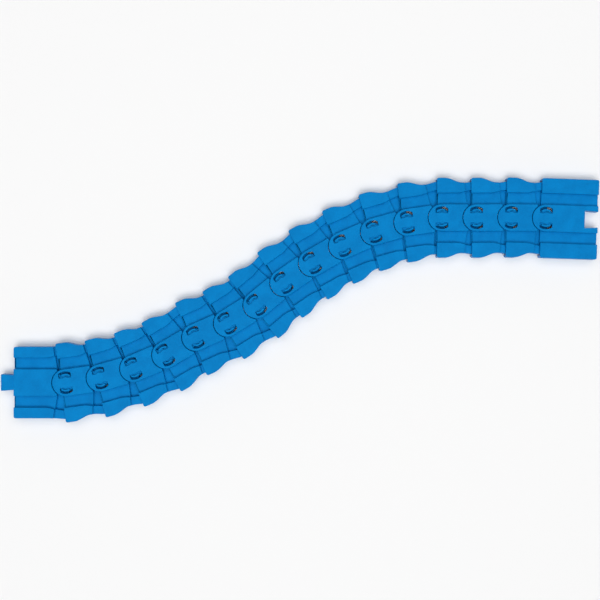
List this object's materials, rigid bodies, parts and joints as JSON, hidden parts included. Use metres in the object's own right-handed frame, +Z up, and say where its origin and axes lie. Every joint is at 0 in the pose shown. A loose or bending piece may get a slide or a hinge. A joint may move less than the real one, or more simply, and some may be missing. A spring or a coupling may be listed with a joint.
{
  "type": "flexible toy railway track",
  "caption": "Flexible toy railway track: a chain of snap-together links on vertical pivots, with two wheel grooves and fishtail connectors at its ends.",
  "frame": {"origin": "middle of the track's footprint as it lies, on the ground", "axes": "+X along the track's length towards the notched end, +Y across it, +Z up from the ground"},
  "size_m": [0.3102, 0.127, 0.008],
  "materials": {
    "blue_plastic": "satin moulded"
  },
  "bodies": {
    "male_end": {"male_end": "blue_plastic"},
    "link_01": {"link_01": "blue_plastic"},
    "link_02": {"link_02": "blue_plastic"},
    "link_03": {"link_03": "blue_plastic"},
    "link_04": {"link_04": "blue_plastic"},
    "link_05": {"link_05": "blue_plastic"},
    "link_06": {"link_06": "blue_plastic"},
    "link_07": {"link_07": "blue_plastic"},
    "link_08": {"link_08": "blue_plastic"},
    "link_09": {"link_09": "blue_plastic"},
    "link_10": {"link_10": "blue_plastic"},
    "link_11": {"link_11": "blue_plastic"},
    "link_12": {"link_12": "blue_plastic"},
    "link_13": {"link_13": "blue_plastic"},
    "link_14": {"link_14": "blue_plastic"},
    "link_15": {"link_15": "blue_plastic"},
    "female_end": {"female_end": "blue_plastic"}
  },
  "joints": [
    {"name": "pivot_01", "type": "hinge", "parent": "male_end", "child": "link_01", "pos_m": [-0.12145, -0.04279, 0], "axis": [0, 0, 1], "range_deg": [-16.8, 1.2]},
    {"name": "pivot_02", "type": "hinge", "parent": "link_01", "child": "link_02", "pos_m": [-0.10362, -0.04034, 0], "axis": [0, 0, 1], "range_deg": [-17, 1]},
    {"name": "pivot_03", "type": "hinge", "parent": "link_02", "child": "link_03", "pos_m": [-0.0863, -0.03544, 0], "axis": [0, 0, 1], "range_deg": [-16, 2]},
    {"name": "pivot_04", "type": "hinge", "parent": "link_03", "child": "link_04", "pos_m": [-0.06971, -0.02847, 0], "axis": [0, 0, 1], "range_deg": [-16.6, 1.4]},
    {"name": "pivot_05", "type": "hinge", "parent": "link_04", "child": "link_05", "pos_m": [-0.05418, -0.01936, 0], "axis": [0, 0, 1], "range_deg": [-2.7, 15.3]},
    {"name": "pivot_06", "type": "hinge", "parent": "link_05", "child": "link_06", "pos_m": [-0.03775, -0.01201, 0], "axis": [0, 0, 1], "range_deg": [-16.7, 1.3]},
    {"name": "pivot_07", "type": "hinge", "parent": "link_06", "child": "link_07", "pos_m": [-0.02245, -0.00252, 0], "axis": [0, 0, 1], "range_deg": [-16.7, 1.3]},
    {"name": "pivot_08", "type": "hinge", "parent": "link_07", "child": "link_08", "pos_m": [-0.00856, 0.00893, 0], "axis": [0, 0, 1], "range_deg": [-4.3, 13.7]},
    {"name": "pivot_09", "type": "hinge", "parent": "link_08", "child": "link_09", "pos_m": [0.00622, 0.0192, 0], "axis": [0, 0, 1], "range_deg": [-4, 14]},
    {"name": "pivot_10", "type": "hinge", "parent": "link_09", "child": "link_10", "pos_m": [0.02184, 0.02814, 0], "axis": [0, 0, 1], "range_deg": [-2.9, 15.1]},
    {"name": "pivot_11", "type": "hinge", "parent": "link_10", "child": "link_11", "pos_m": [0.03832, 0.03538, 0], "axis": [0, 0, 1], "range_deg": [-1, 17]},
    {"name": "pivot_12", "type": "hinge", "parent": "link_11", "child": "link_12", "pos_m": [0.05565, 0.04025, 0], "axis": [0, 0, 1], "range_deg": [-1, 17]},
    {"name": "pivot_13", "type": "hinge", "parent": "link_12", "child": "link_13", "pos_m": [0.07349, 0.04266, 0], "axis": [0, 0, 1], "range_deg": [-1.2, 16.8]},
    {"name": "pivot_14", "type": "hinge", "parent": "link_13", "child": "link_14", "pos_m": [0.09149, 0.04263, 0], "axis": [0, 0, 1], "range_deg": [-9.6, 8.4]},
    {"name": "pivot_15", "type": "hinge", "parent": "link_14", "child": "link_15", "pos_m": [0.10949, 0.04279, 0], "axis": [0, 0, 1], "range_deg": [-7.5, 10.5]},
    {"name": "pivot_16", "type": "hinge", "parent": "link_15", "child": "female_end", "pos_m": [0.12748, 0.04247, 0], "axis": [0, 0, 1], "range_deg": [-8, 10]}
  ]
}
